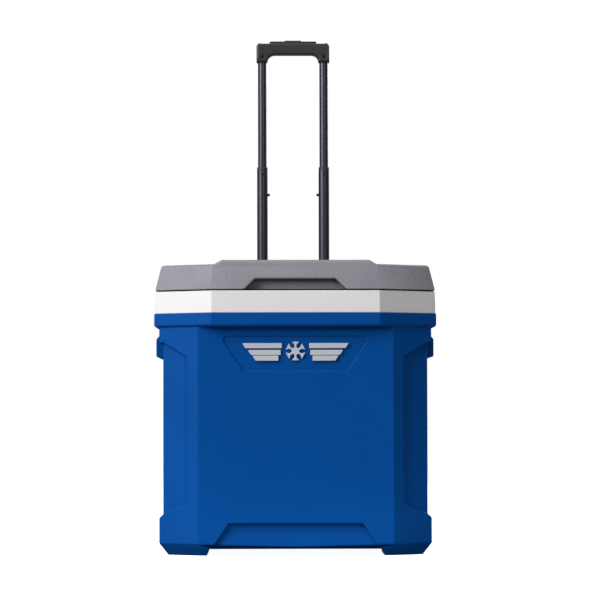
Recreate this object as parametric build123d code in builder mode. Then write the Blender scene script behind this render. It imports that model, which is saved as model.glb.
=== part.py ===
from build123d import *
import math
import os

# A wheeled picnic cooler: a foam-filled double-wall body with two rear wheels,
# a hinged insulated lid and a two-stage telescoping pull handle behind it.
# Millimetres. X to the user's right, -Y is the front, Z up, ground at Z = 0.
# The origin is on the ground under the middle of the whole cooler.

# ---- Overall sizes ----
rim_width = 500.0
rim_depth = 430.0
body_height = 465.0  # ground to the flat top of the liner's rim
lid_height = 52.5
wheel_radius = 100.0
wheel_tail = 50.0  # how far the wheels stand out behind the rim
handle_reach = 500.0  # top of the grip above the body when pulled right out

# ---- Walls ----
shell_wall = 3.0
liner_wall = 2.5
front_wall = 24.0  # shell, foam and liner together
rear_wall = 21.0
side_wall = 41.0
cavity_corner = 38.0
floor_wall = 28.0
thin_foam = 11.0  # foam left between a wheel well and the liner
rim_wall = 8.0  # the shell's thick lip
skirt_wall = 4.0  # the white band around the top

# ---- Body mould lines ----
lip_height = 24.0
band_height = 39.0
band_step = 2.0  # band inside the lip
band_draft = 1.2
lip_low_round = 5.0
lip_high_round = 1.5
front_overhang = 18.0
rear_overhang = 8.0
side_overhang = 9.0
rim_corner_run = 102.0
rim_corner_set = 58.0
rim_rear_run = 78.0
rim_rear_set = 45.0
body_corner_run = 69.0
body_corner_set = 40.0
body_rear_run = 61.0
body_rear_set = 40.0
underside_z = 12.0
bottom_bevel_height = 21.0
bottom_bevel_run = 16.0
underside_bevel = 9.0
foot_inner_run = 92.0  # foot width, from the side wall inwards
foot_depth = 112.0
foot_slant = 7.0

# ---- Side recess, carrying ledge and hand pocket ----
recess_depth = 7.0
recess_inner_run = 51.0  # from the side wall in to the recess's upright edge
recess_wall_run = 6.0
recess_low_z = 91.0
recess_drop = 19.0
recess_rise = 26.0
recess_top_gap = 53.0  # below the lip
ledge_out = 7.5
ledge_gap = 11.0
ledge_height = 41.0
ledge_length = 210.0
ledge_wall = 7.0
ledge_lean_height = 8.75  # the ledge's sloping top edge
pocket_length = 130.0
pocket_depth = 27.5
pocket_top_gap = 26.0
pocket_mouth = 54.0

# ---- Front details ----
badge_top_gap = 16.6  # below the lip
badge_panel_height = 62.0
badge_top_half = 133.0
badge_low_half = 92.0
badge_panel_depth = 2.5
badge_relief = 4.0
kick_top_z = 57.5
kick_top_half = 118.0
kick_low_half = 148.0
kick_top_depth = 12.0
kick_low_depth = 5.0

# ---- Wheels and wheel wells ----
well_run = 54.0  # from the rim's side in to the well's flat wall
well_clearance = 9.0
well_rear_height = 0.82  # of the well's radius, where its rear opening ends
wheel_width = 40.0
wheel_gap = 5.0
tyre_thickness = 16.0
rim_barrel = 4.0
hub_radius = 17.0
bush_radius = 9.0
axle_radius = 6.0
running_gap = 0.05
flange_radius = 24.0
flange_thickness = 4.4
cap_radius = 46.0
cap_dome = 4.0
cap_stand = 5.0

# ---- Lid ----
seal_gap = 2.0
lid_lean = 13.8  # degrees, all four sides
lid_corner_drop = 7.5
lid_round = 7.0
raised_top_half = 130.0
raised_foot_half = 143.0
raised_rear = 95.0
lid_rear_gap = 4.0
lid_wall = 3.0
plug_depth = 15.0
plug_gap = 4.0
grip_scoop_half = 82.0
scoop_floor_height = 18.0
scoop_length = 76.0
scoop_slope = 23.0
finger_low_half = 89.0
finger_top_half = 71.0
finger_height = 18.0
finger_depth = 20.0
finger_corner = 8.0
finger_round = 3.0

# ---- Lid hinges ----
hinge_x = 152.0
hinge_inset = 12.0  # pivot in front of the rim's rear
hinge_rise = 9.0  # pivot above the rim
knuckle_radius = 6.5
knuckle_width = 11.4
knuckle_gap = 0.3
leaf_half = 16.0
pin_radius = 2.5
leaf_thickness = 3.0

# ---- Telescoping handle ----
tube_spacing = 118.0
tube_offset = 16.0  # tube centres behind the rim
sleeve_gap = 0.45  # round the middle tube, inside its sleeve
sleeve_wall = 1.9
middle_radius = 10.15
upper_radius = 8.25
tube_wall = 1.2
slide_gap = 0.1
middle_travel = 250.0
upper_travel = 200.0
grip_width = 140.0
grip_height = 37.0
grip_thickness = 28.0
grip_bar = 22.5
loop_half = 49.0
loop_corner = 14.0
horn_height = 1.6  # the grip's ends stand above its sunk top
horn_inner_half = 62.5
pad_height = 3.0
button_half = 16.5
button_stand = 2.0
button_travel = 4.0

# ---- Drain ----
drain_x = -120.0
drain_radius = 11.0
drain_bore = 8.0

# ---- Worked-out places ----
overall_depth = rim_depth + wheel_tail
rim_front = -overall_depth / 2
rim_rear = rim_front + rim_depth
rim_half = rim_width / 2
body_half = rim_half - side_overhang
body_front = rim_front + front_overhang
body_rear = rim_rear - rear_overhang
body_middle = (body_front + body_rear) / 2
band_z = body_height - band_height
lip_z = band_z - lip_height
axle_y = rim_rear + wheel_tail - wheel_radius
axle_z = wheel_radius
well_x = rim_half - well_run
well_radius = wheel_radius + well_clearance
cavity_half = body_half - side_wall
cavity_front = body_front + front_wall
cavity_rear = body_rear - rear_wall
cavity_floor = underside_z + floor_wall
bump_x = well_x - shell_wall - thin_foam - liner_wall
bump_y = axle_y - well_radius - shell_wall - thin_foam - liner_wall
bump_z = axle_z + well_radius + shell_wall + thin_foam + liner_wall
lid_z = body_height + seal_gap
lid_top = lid_z + lid_height
lid_front = rim_front + band_step
lid_rear = rim_rear - lid_rear_gap
pivot_y = rim_rear - hinge_inset
pivot_z = body_height + hinge_rise
tube_x = tube_spacing / 2
tube_y = rim_rear + tube_offset
sleeve_bore = middle_radius + sleeve_gap
sleeve_radius = sleeve_bore + sleeve_wall
grip_top = body_height + handle_reach - pad_height - button_stand
grip_bottom = grip_top - grip_height
middle_top = grip_bottom - upper_travel - 2.0
sleeve_top = middle_top - 20.0 - middle_travel
past = 60.0  # how far a cutting tool runs past what it cuts

os.makedirs("parts", exist_ok=True)


def finish(part, name):
    """Labels one finished piece and writes it."""
    part.label = name
    export_step(part, "parts/" + name + ".step")


def finish_pair(part, name):
    """Writes a right-hand piece and its mirror image on the left."""
    with BuildPart() as other:
        mirror(part, about=Plane.YZ)
    finish(part, name + "_right")
    finish(other.part, name + "_left")


def both_sides(part):
    """A right-hand piece together with its mirror image."""
    with BuildPart() as pair:
        add(part)
        mirror(part, about=Plane.YZ)
    return pair.part


def mirrored(right):
    """A closed outline from its right half, listed from the front to the rear."""
    return right + [(-x, y) for x, y in reversed(right)]


rim_plan = mirrored(
    [
        (rim_half - rim_corner_run, rim_front),
        (rim_half, rim_front + rim_corner_set),
        (rim_half, rim_rear - rim_rear_set),
        (rim_half - rim_rear_run, rim_rear),
    ]
)
body_plan = mirrored(
    [
        (body_half - body_corner_run, body_front),
        (body_half, body_front + body_corner_set),
        (body_half, body_rear - body_rear_set),
        (body_half - body_rear_run, body_rear),
    ]
)
lid_plan = mirrored(
    [
        (rim_half - rim_corner_run, lid_front),
        (rim_half - band_step, lid_front + rim_corner_set - band_step),
        (rim_half - band_step, lid_rear - rim_rear_set + band_step),
        (rim_half - rim_rear_run, lid_rear),
    ]
)


def tapered(points, low_z, low_inset, high_z, high_inset):
    """A block between two levels whose sides lean in or out evenly."""
    with BuildPart() as block:
        for level, inset in ((low_z, low_inset), (high_z, high_inset)):
            with BuildSketch(Plane.XY.offset(level)):
                Polygon(*points, align=None)
                if inset > 0:
                    offset(amount=-inset, kind=Kind.INTERSECTION)
        loft(ruled=True)
    return block.part


def upright(points, low_z, high_z, inset=0.0):
    """A straight-sided block on a plan outline."""
    return tapered(points, low_z, inset, high_z, inset)


def across(points, from_x, to_x):
    """A block with a side-view outline of (Y, Z) points, run across in X."""
    with BuildPart() as block:
        with BuildSketch(Plane.YZ.offset(from_x)):
            Polygon(*points, align=None)
        extrude(amount=to_x - from_x)
    return block.part


def through(points, from_y, to_y, corner=0.0):
    """A block with a front-view outline of (X, Z) points, run back in Y."""
    with BuildPart() as block:
        with BuildSketch(Plane.XZ.offset(-from_y)) as outline:
            Polygon(*points, align=None)
            if corner > 0:
                fillet(outline.vertices(), corner)
        extrude(amount=from_y - to_y)
    return block.part


def rod(centre, direction, radius, length, bore=0.0):
    """A round bar or tube that starts at centre and runs along direction."""
    with BuildPart() as bar:
        with BuildSketch(Plane(origin=centre, z_dir=direction)):
            Circle(radius)
            if bore > 0:
                Circle(bore, mode=Mode.SUBTRACT)
        extrude(amount=length)
    return bar.part


def turned(centre, points):
    """A ring or disc about an axle along X: points are (distance out, radius)."""
    with BuildPart() as ring:
        with BuildSketch(Plane(origin=centre, x_dir=(1, 0, 0), z_dir=(0, -1, 0))):
            Polygon(*points, align=None)
        revolve(axis=Axis(centre, (1, 0, 0)))
    return ring.part


def block(low, high):
    """A square block between two corners."""
    with BuildPart() as solid:
        with Locations(tuple((a + b) / 2 for a, b in zip(low, high))):
            Box(*[b - a for a, b in zip(low, high)])
    return solid.part


# ---- The outer form of the body, and the foam space inside it ----


def side_recess(grow):
    """What is cut from the right side and corners to leave the shallow recess."""
    inner = body_half - recess_inner_run
    low = recess_low_z - grow
    high = lip_z - recess_top_gap + grow
    side = body_half - recess_depth
    with BuildPart() as cutter:
        add(
            through(
                [
                    (inner - grow, low),
                    (side, low - recess_drop),
                    (body_half + past, low - recess_drop - past),
                    (body_half + past, high + recess_rise),
                    (side, high + recess_rise),
                    (inner - grow, high),
                ],
                body_front - past,
                body_rear + past,
            )
        )
        with BuildSketch(Plane.XY.offset(-past)) as core:
            slope = body_corner_set / body_corner_run
            rear_slope = body_rear_set / body_rear_run
            run_in = body_corner_run - recess_inner_run
            rear_in = body_rear_run - recess_inner_run
            Polygon(
                (0, body_front - past),
                (inner, body_front - past),
                (inner, body_front + slope * run_in),
                (
                    inner + recess_wall_run,
                    body_front + slope * (run_in + recess_wall_run) + recess_depth,
                ),
                (side, body_front + body_corner_set + recess_depth * 0.5),
                (side, body_rear - body_rear_set - recess_depth * 0.5),
                (
                    inner + recess_wall_run,
                    body_rear - rear_slope * (rear_in + recess_wall_run) - recess_depth,
                ),
                (inner, body_rear - rear_slope * rear_in),
                (inner, body_rear + past),
                (0, body_rear + past),
                align=None,
            )
            if grow > 0:
                offset(amount=-grow, kind=Kind.INTERSECTION)
        extrude(amount=band_z + 2 * past, mode=Mode.SUBTRACT)
    return cutter.part


def wheel_well(grow):
    """What is cut from the right rear corner for its wheel."""
    radius = well_radius + grow
    with BuildPart() as cutter:
        add(rod((well_x - grow, axle_y, axle_z), (1, 0, 0), radius, past * 2))
        add(
            block(
                (well_x - grow, axle_y - radius, -past),
                (well_x - grow + past * 2, body_rear + past, axle_z),
            )
        )
        add(
            block(
                (well_x - grow, axle_y, axle_z),
                (well_x - grow + past * 2, body_rear + past, axle_z + radius * well_rear_height),
            )
        )
    return cutter.part


def hand_pocket(grow):
    """What is cut from the right side, up behind the ledge, for the fingers."""
    outer = body_half + ledge_out - ledge_wall
    inner = outer - pocket_depth
    ledge_low = lip_z - ledge_gap - ledge_height
    top = lip_z - pocket_top_gap
    with BuildPart() as cutter:
        with BuildSketch(Plane.XZ.offset(-body_middle)):
            Polygon(
                (inner - grow, ledge_low - pocket_mouth / 2 - grow),
                (inner - grow, top + grow),
                (outer + grow, top + grow),
                (outer + grow, ledge_low),
                (body_half + past, ledge_low),
                (body_half + past, ledge_low - pocket_mouth - grow),
                (body_half - recess_depth, ledge_low - pocket_mouth - grow),
                align=None,
            )
        extrude(amount=pocket_length / 2 + grow, both=True)
    return cutter.part


def carrying_ledge():
    """The right side ledge that the fingers pull up on."""
    top = lip_z - ledge_gap
    low = top - ledge_height
    out = body_half + ledge_out
    with BuildPart() as ledge:
        with BuildSketch(Plane.XZ.offset(-body_middle)):
            Polygon(
                (body_half - recess_depth - ledge_wall, low),
                (out - ledge_wall / 3, low),
                (out, low + ledge_wall / 3),
                (out, top - ledge_lean_height),
                (body_half, top),
                (body_half - recess_depth - ledge_wall, top),
                align=None,
            )
        extrude(amount=ledge_length / 2, both=True)
    return ledge.part


def foot_form():
    """The right front foot, moulded under the body's corner."""
    inner = body_half - foot_inner_run
    with BuildPart() as foot:
        add(tapered(body_plan, 0.0, bottom_bevel_run, bottom_bevel_height, 0.0))
        with BuildSketch(Plane.XZ.offset(past - body_front)):
            Polygon(
                (inner, bottom_bevel_height),
                (inner + foot_slant, 0.0),
                (rim_half, 0.0),
                (rim_half, bottom_bevel_height),
                align=None,
            )
        extrude(amount=-past - foot_depth, mode=Mode.INTERSECT)
    return foot.part


def kick_recess(grow):
    """The wide shallow hollow low on the front, deeper at its top."""
    top = kick_top_z + grow
    low = underside_z - past
    low_half = kick_low_half + (kick_low_half - kick_top_half) * past / (kick_top_z - underside_z)
    with BuildPart() as cutter:
        add(
            through(
                [
                    (-low_half - grow, low),
                    (low_half + grow, low),
                    (kick_top_half + grow, top),
                    (-kick_top_half - grow, top),
                ],
                body_front - past,
                body_front + kick_top_depth + grow,
            )
        )
        with BuildSketch(Plane.YZ.offset(-rim_half)):
            Polygon(
                (body_front - past, low),
                (body_front + kick_low_depth + grow, low),
                (body_front + kick_low_depth + grow, underside_z),
                (body_front + kick_top_depth + grow, top),
                (body_front - past, top),
                align=None,
            )
        extrude(amount=rim_width, mode=Mode.INTERSECT)
    return cutter.part


def badge_panel(grow):
    """The shallow panel high on the front that the badge sits in."""
    top = lip_z - badge_top_gap
    return through(
        [
            (-badge_low_half - grow, top - badge_panel_height - grow),
            (badge_low_half + grow, top - badge_panel_height - grow),
            (badge_top_half + grow, top + grow),
            (-badge_top_half - grow, top + grow),
        ],
        body_front - past,
        body_front + badge_panel_depth + grow,
        corner=7.0,
    )


def lip_form():
    """The thick lip round the top of the body, with its edges rounded."""
    with BuildPart() as lip:
        add(upright(rim_plan, lip_z, band_z))
        fillet(lip.faces().sort_by(Axis.Z)[0].edges(), lip_low_round)
        fillet(lip.faces().sort_by(Axis.Z)[-1].edges(), lip_high_round)
    return lip.part


def body_form(inset, lip_inset):
    """The body up to the band, moved in by a wall where inset is not zero."""
    bevel_low = underside_z + inset
    bevel_run = bottom_bevel_run * (bottom_bevel_height - underside_z) / bottom_bevel_height
    with BuildPart() as form:
        add(tapered(body_plan, bevel_low, inset + bevel_run, bevel_low + underside_bevel, inset))
        add(upright(body_plan, bevel_low + underside_bevel, band_z, inset))
        for cutter in (side_recess(inset), wheel_well(inset)):
            add(cutter, mode=Mode.SUBTRACT)
            mirror(cutter, about=Plane.YZ, mode=Mode.SUBTRACT)
        if inset == 0:
            add(lip_form())
        else:
            add(upright(rim_plan, lip_z + inset, band_z, lip_inset))
        if inset == 0:
            for extra in (carrying_ledge(), foot_form()):
                add(extra)
                mirror(extra, about=Plane.YZ)
        add(hand_pocket(inset), mode=Mode.SUBTRACT)
        mirror(hand_pocket(inset), about=Plane.YZ, mode=Mode.SUBTRACT)
        add(kick_recess(inset), mode=Mode.SUBTRACT)
        add(badge_panel(inset), mode=Mode.SUBTRACT)
    return form.part


def cavity_form(grow, top_z):
    """The food space, or the outside of the liner round it where grow is a wall."""
    with BuildPart() as form:
        with BuildSketch(Plane.XY.offset(cavity_floor - grow)) as outline:
            with Locations((0, (cavity_front + cavity_rear) / 2)):
                Rectangle(2 * (cavity_half + grow), cavity_rear - cavity_front + 2 * grow)
            fillet(outline.vertices(), cavity_corner + grow)
        extrude(amount=top_z - cavity_floor + grow)
        for side in (-1, 1):
            near = side * (bump_x + grow)
            far = side * (cavity_half + past)
            add(
                block(
                    (min(near, far), bump_y + grow, cavity_floor - past),
                    (max(near, far), cavity_rear + past, bump_z - grow),
                ),
                mode=Mode.SUBTRACT,
            )
    return form.part


# ---- Drain, low on the rear wall ----
drain_z = cavity_floor + drain_radius + 7.0
drain_centre = (drain_x, cavity_rear - 6.0, drain_z)
drain_length = body_rear + 6.0 - (cavity_rear - 6.0)
drain_hole = rod((drain_x, cavity_rear - 20.0, drain_z), (0, 1, 0), drain_radius, 70.0)

with BuildPart() as drain_spout:
    add(rod(drain_centre, (0, 1, 0), drain_radius, drain_length, drain_bore))
    add(rod((drain_x, body_rear, drain_z), (0, 1, 0), drain_radius + 5.0, 3.0, drain_bore))
finish(drain_spout.part, "drain_spout")

with BuildPart() as drain_washer:
    add(rod((drain_x, cavity_rear - 1.5, drain_z), (0, 1, 0), drain_radius + 4.0, 1.5, drain_radius))
finish(drain_washer.part, "drain_washer")

with BuildPart() as drain_nut:
    with BuildSketch(Plane(origin=(drain_x, cavity_rear - 6.0, drain_z), z_dir=(0, 1, 0))):
        RegularPolygon(radius=drain_radius + 3.0, side_count=6, rotation=30)
        Circle(drain_radius, mode=Mode.SUBTRACT)
    extrude(amount=4.5)
finish(drain_nut.part, "drain_nut")

plug_y = body_rear + 6.0
with BuildPart() as drain_plug:
    add(rod((drain_x, plug_y - 18.0, drain_z), (0, 1, 0), drain_bore - 0.3, 20.0))
    add(rod((drain_x, plug_y + 1.8, drain_z), (0, 1, 0), drain_radius + 6.0, 7.0))
    add(
        block(
            (drain_x - 3.0, plug_y + 8.0, drain_z - drain_radius - 3.0),
            (drain_x + 3.0, plug_y + 17.0, drain_z + drain_radius + 3.0),
        )
    )
finish(drain_plug.part, "drain_plug")

with BuildPart() as drain_seal:
    seal_bore = drain_bore - 0.3
    add(rod((drain_x, plug_y + 0.3, drain_z), (0, 1, 0), drain_radius + 1.0, 1.5, seal_bore))
finish(drain_seal.part, "drain_plug_seal")

# ---- Screws that hold the fixed hardware ----


def screw(head_centre, direction, head_radius, head_height, length):
    """A round-head screw: its head stands out along direction, its shank goes in."""
    inwards = [-value for value in direction]
    with BuildPart() as piece:
        add(rod(head_centre, direction, head_radius, head_height))
        add(rod(head_centre, inwards, head_radius * 0.45, length))
    return piece.part


# ---- Lid hinges: a body leaf and a lid leaf on each side ----
knuckle_low = hinge_x - knuckle_width / 2
side_knuckle_width = leaf_half - knuckle_width / 2 - knuckle_gap
band_rear = rim_rear - band_step + band_draft / 2

body_leaf_screws = [
    screw((hinge_x + along, band_rear + leaf_thickness, level), (0, 1, 0), 3.4, 1.8, 14.0)
    for along in (-8.0, 8.0)
    for level in (band_z + 14.0,)
]
with BuildPart() as hinge_body_screws:
    for piece in body_leaf_screws:
        add(piece)
        mirror(piece, about=Plane.YZ)
finish(hinge_body_screws.part, "hinge_body_screws")

with BuildPart() as hinge_body_leaf:
    add(
        block(
            (hinge_x - leaf_half, band_rear, band_z + 3.0),
            (hinge_x + leaf_half, band_rear + leaf_thickness, body_height + 2.2),
        )
    )
    add(
        block(
            (hinge_x - leaf_half, pivot_y - knuckle_radius, body_height),
            (hinge_x + leaf_half, band_rear + leaf_thickness, body_height + 2.2),
        )
    )
    add(
        block(
            (knuckle_low, pivot_y - knuckle_radius, body_height + 1.0),
            (knuckle_low + knuckle_width, pivot_y + knuckle_radius, pivot_z),
        )
    )
    add(rod((knuckle_low, pivot_y, pivot_z), (1, 0, 0), knuckle_radius, knuckle_width))
    add(
        rod((knuckle_low - 1.0, pivot_y, pivot_z), (1, 0, 0), pin_radius + running_gap, 20.0),
        mode=Mode.SUBTRACT,
    )
    add(hinge_body_screws.part, mode=Mode.SUBTRACT)
finish_pair(hinge_body_leaf.part, "hinge_body_leaf")

notch_front = pivot_y - 15.0
lid_leaf_screws = [
    screw((hinge_x + along, notch_front + leaf_thickness, pivot_z + 20.0), (0, 1, 0), 3.0, 1.6, 12.0)
    for along in (-9.0, 9.0)
]
with BuildPart() as hinge_lid_screws:
    for piece in lid_leaf_screws:
        add(piece)
        mirror(piece, about=Plane.YZ)
finish(hinge_lid_screws.part, "hinge_lid_screws")

with BuildPart() as hinge_lid_leaf:
    add(
        block(
            (hinge_x - leaf_half, notch_front, pivot_z - 5.0),
            (hinge_x + leaf_half, notch_front + leaf_thickness, pivot_z + 27.0),
        )
    )
    for start in (hinge_x - leaf_half, hinge_x + leaf_half - side_knuckle_width):
        add(
            block(
                (start, notch_front + 1.0, pivot_z - 5.0),
                (start + side_knuckle_width, pivot_y, pivot_z + 5.0),
            )
        )
        add(rod((start, pivot_y, pivot_z), (1, 0, 0), knuckle_radius, side_knuckle_width))
    add(
        rod((hinge_x - past, pivot_y, pivot_z), (1, 0, 0), pin_radius, 2 * past),
        mode=Mode.SUBTRACT,
    )
    add(hinge_lid_screws.part, mode=Mode.SUBTRACT)
finish_pair(hinge_lid_leaf.part, "hinge_lid_leaf")

with BuildPart() as hinge_pin:
    add(rod((hinge_x - leaf_half, pivot_y, pivot_z), (1, 0, 0), pin_radius, 2 * leaf_half))
finish(both_sides(hinge_pin.part), "hinge_pins")

# ---- Handle housings on the rear wall ----
housing_half = tube_x + 26.0
housing_rear = tube_y + sleeve_radius + 3.5
housing_low = lip_z - 66.0
housing_top = sleeve_top + 2.0
bracket_low = underside_z + 42.0
bracket_top = bracket_low + 40.0

housing_screws = [
    screw((tube_x + 19.0, housing_rear, level), (0, 1, 0), 4.0, 2.0, housing_rear - body_rear + 12.0)
    for level in (housing_low + 14.0, lip_z - 14.0)
]
bracket_screw = screw(
    (tube_x + 19.0, housing_rear, bracket_low + 20.0),
    (0, 1, 0),
    4.0,
    2.0,
    housing_rear - body_rear + 12.0,
)
with BuildPart() as handle_screws:
    for piece in housing_screws + [bracket_screw]:
        add(piece)
        mirror(piece, about=Plane.YZ)
finish(handle_screws.part, "handle_screws")

slot_half = 2.9
slot_low = middle_top - 53.0 - middle_travel - 6.0
slot_reach = middle_radius + 4.6
slot_cutter = block(
    (tube_x - slot_reach, tube_y - slot_half, slot_low),
    (tube_x, tube_y + slot_half, sleeve_top + past),
)

with BuildPart() as handle_sleeve:
    add(
        rod(
            (tube_x, tube_y, bracket_low + 4.0),
            (0, 0, 1),
            sleeve_radius,
            sleeve_top - bracket_low - 4.0,
            sleeve_bore,
        )
    )
    add(slot_cutter, mode=Mode.SUBTRACT)
finish_pair(handle_sleeve.part, "handle_sleeve")

with BuildPart() as handle_housing:
    add(
        across(
            [
                (body_rear, housing_low),
                (housing_rear - 8.0, housing_low),
                (housing_rear, housing_low + 8.0),
                (housing_rear, housing_top - 3.0),
                (housing_rear - 3.0, housing_top),
                (rim_rear + 0.4, housing_top),
                (rim_rear + 0.4, lip_z - 0.4),
                (body_rear, lip_z - 0.4),
            ],
            -housing_half,
            housing_half,
        )
    )
    fillet(handle_housing.edges().filter_by(Axis.Y).group_by(Axis.Z)[0], 10.0)
    for cutter in (
        rod((tube_x, tube_y, housing_low - past), (0, 0, 1), sleeve_radius, sleeve_top - housing_low + past),
        rod((tube_x, tube_y, housing_low), (0, 0, 1), sleeve_bore, past * 4),
        slot_cutter,
        handle_screws.part,
    ):
        add(cutter, mode=Mode.SUBTRACT)
        mirror(cutter, about=Plane.YZ, mode=Mode.SUBTRACT)
    add(
        block(
            (-tube_x + 20.0, body_rear + 9.0, housing_low - past),
            (tube_x - 20.0, housing_rear + past, lip_z - 20.0),
        ),
        mode=Mode.SUBTRACT,
    )
finish(handle_housing.part, "handle_housing")

with BuildPart() as handle_bracket:
    add(
        block(
            (-housing_half, body_rear, bracket_low),
            (housing_half, housing_rear, bracket_top),
        )
    )
    fillet(handle_bracket.edges().filter_by(Axis.Y), 8.0)
    for cutter in (
        rod((tube_x, tube_y, bracket_low + 4.0), (0, 0, 1), sleeve_radius, past * 2),
        handle_screws.part,
    ):
        add(cutter, mode=Mode.SUBTRACT)
        mirror(cutter, about=Plane.YZ, mode=Mode.SUBTRACT)
    add(
        block(
            (-tube_x + 20.0, body_rear + 9.0, bracket_low - past),
            (tube_x - 20.0, housing_rear + past, bracket_top + past),
        ),
        mode=Mode.SUBTRACT,
    )
finish(handle_bracket.part, "handle_bracket")

# ---- Wheels, on stub axles screwed to the well walls ----
wheel_in = well_x + wheel_gap
wheel_out = wheel_in + wheel_width
axle_centre = (0, axle_y, axle_z)
tyre_bore = wheel_radius - tyre_thickness
shoulder = 5.0

with BuildPart() as axle_screws_right:
    with BuildSketch(Plane.YZ.offset(well_x + flange_thickness)):
        with Locations((axle_y, axle_z)):
            with PolarLocations(16.0, 3, start_angle=90):
                Circle(3.6)
    extrude(amount=-2.0, taper=30)
    with BuildSketch(Plane.YZ.offset(well_x + flange_thickness)):
        with Locations((axle_y, axle_z)):
            with PolarLocations(16.0, 3, start_angle=90):
                Circle(1.8)
    extrude(amount=-14.0)
axle_screws = both_sides(axle_screws_right.part)
finish(axle_screws, "axle_screws")

with BuildPart() as axle_stub:
    add(
        turned(
            axle_centre,
            [
                (well_x, 0.0),
                (well_x, flange_radius),
                (well_x + flange_thickness, flange_radius),
                (well_x + flange_thickness, axle_radius),
                (wheel_out + 1.0, axle_radius),
                (wheel_out + 2.0, axle_radius - 1.0),
                (wheel_out + 2.0, 0.0),
            ],
        )
    )
    add(axle_screws, mode=Mode.SUBTRACT)
finish_pair(axle_stub.part, "axle_stub")

with BuildPart() as tyre:
    add(
        turned(
            axle_centre,
            [
                (wheel_in, tyre_bore),
                (wheel_in, wheel_radius - shoulder),
                (wheel_in + shoulder, wheel_radius),
                (wheel_out - shoulder, wheel_radius),
                (wheel_out, wheel_radius - shoulder),
                (wheel_out, tyre_bore),
            ],
        )
    )
    fillet(tyre.edges().filter_by(GeomType.CIRCLE).group_by(SortBy.RADIUS)[-1], 3.0)
finish_pair(tyre.part, "tyre")

web_in = wheel_in + 12.0
web_out = web_in + 12.0
rib_out = wheel_out - 3.0
with BuildPart() as wheel_hub:
    add(
        turned(
            axle_centre,
            [
                (wheel_in + 1.0, bush_radius),
                (wheel_in + 1.0, hub_radius),
                (web_in, hub_radius),
                (web_in, tyre_bore - rim_barrel),
                (wheel_in + 1.0, tyre_bore - rim_barrel),
                (wheel_in + 1.0, tyre_bore),
                (wheel_out - 1.0, tyre_bore),
                (wheel_out - 1.0, tyre_bore - rim_barrel),
                (web_out, tyre_bore - rim_barrel),
                (web_out, cap_radius - 2.6),
                (rib_out, cap_radius - 2.6),
                (rib_out, cap_radius - 6.6),
                (web_out, cap_radius - 6.6),
                (web_out, hub_radius),
                (rib_out, hub_radius),
                (rib_out, bush_radius),
            ],
        )
    )
    with BuildSketch(Plane.YZ.offset(web_in - 1.0)):
        with Locations((axle_y, axle_z)):
            with PolarLocations((cap_radius + tyre_bore - rim_barrel) / 2, 8):
                SlotOverall(22.0, 20.0, rotation=90)
    extrude(amount=14.0, mode=Mode.SUBTRACT)
finish_pair(wheel_hub.part, "wheel_hub")

with BuildPart() as wheel_bush:
    add(
        rod(
            (wheel_in + 0.8, axle_y, axle_z),
            (1, 0, 0),
            bush_radius,
            rib_out - wheel_in - 0.8,
            axle_radius + running_gap,
        )
    )
finish_pair(wheel_bush.part, "wheel_bush")

with BuildPart() as axle_clip:
    add(rod((rib_out + 0.5, axle_y, axle_z), (1, 0, 0), axle_radius + 3.0, 1.6, axle_radius))
finish(both_sides(axle_clip.part), "axle_clips")

with BuildPart() as hub_cap:
    dome_edge = wheel_out + cap_stand - cap_dome
    with BuildSketch(Plane(origin=axle_centre, x_dir=(1, 0, 0), z_dir=(0, -1, 0))):
        with BuildLine():
            Polyline(
                (dome_edge - 2.5, 0.0),
                (dome_edge + cap_dome, 0.0),
            )
            ThreePointArc(
                (dome_edge + cap_dome, 0.0),
                (dome_edge + cap_dome * 0.78, cap_radius * 0.52),
                (dome_edge, cap_radius),
            )
            Polyline(
                (dome_edge, cap_radius),
                (web_out + 0.3, cap_radius),
                (web_out + 0.3, cap_radius - 2.5),
                (dome_edge - 2.5, cap_radius - 2.5),
                (dome_edge - 2.5, 0.0),
            )
        make_face()
    revolve(axis=Axis(axle_centre, (1, 0, 0)))
    add(rod((dome_edge - 4.0, axle_y, axle_z), (1, 0, 0), axle_radius + 5.0, 5.4), mode=Mode.SUBTRACT)
finish_pair(hub_cap.part, "hub_cap")

# ---- Body: shell, foam and liner ----
outer_form = body_form(0.0, 0.0)
foam_space = body_form(shell_wall, rim_wall)
liner_outside = cavity_form(liner_wall, body_height)
fixings = (
    drain_hole,
    axle_screws,
    handle_screws.part,
    hinge_body_screws.part,
)

with BuildPart() as outer_shell:
    add(outer_form)
    add(foam_space, mode=Mode.SUBTRACT)
    for cutter in fixings:
        add(cutter, mode=Mode.SUBTRACT)
finish(outer_shell.part, "outer_shell")

with BuildPart() as body_foam:
    add(foam_space)
    add(upright(rim_plan, band_z, body_height - skirt_wall, band_step + skirt_wall))
    add(liner_outside, mode=Mode.SUBTRACT)
    for cutter in fixings:
        add(cutter, mode=Mode.SUBTRACT)
finish(body_foam.part, "body_foam")

with BuildPart() as inner_liner:
    add(tapered(rim_plan, band_z, band_step - band_draft / 2, body_height, band_step + band_draft / 2))
    add(
        upright(rim_plan, band_z - 1.0, body_height - skirt_wall, band_step + skirt_wall),
        mode=Mode.SUBTRACT,
    )
    add(liner_outside)
    add(cavity_form(0.0, body_height + past), mode=Mode.SUBTRACT)
    for cutter in fixings:
        add(cutter, mode=Mode.SUBTRACT)
finish(inner_liner.part, "inner_liner")

# ---- Badge: a six-armed snow crystal between two bars ----
badge_back = body_front + badge_panel_depth
badge_z = lip_z - badge_top_gap - badge_panel_height / 2 + 4.5

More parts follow.
